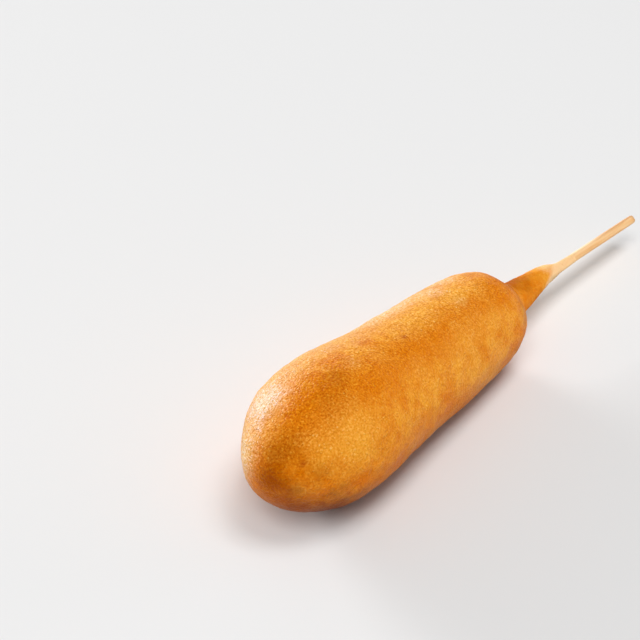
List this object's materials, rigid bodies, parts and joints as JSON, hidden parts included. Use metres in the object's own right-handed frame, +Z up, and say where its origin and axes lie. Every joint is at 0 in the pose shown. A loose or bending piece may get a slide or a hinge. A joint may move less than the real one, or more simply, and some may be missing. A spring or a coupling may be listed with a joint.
{
  "type": "corn dog",
  "caption": "Corn dog lying on its side: a sausage form coated in fried golden cornmeal batter, with a neck of batter running up a flat wooden stick that serves as its handle.",
  "frame": {"origin": "on the surface the corn dog lies on, under the middle of its overall length and width", "axes": "+X along the body from the rounded tip towards the bare end of the stick, +Z up from the surface it lies on"},
  "size_m": [0.1892, 0.0416, 0.042],
  "materials": {
    "crust": "fried cornmeal batter, golden brown, dry and finely grained",
    "stick_wood": "bare pale wood with fine lengthwise grain"
  },
  "bodies": {
    "root": {"batter": "crust", "stick": "stick_wood"}
  },
  "joints": []
}
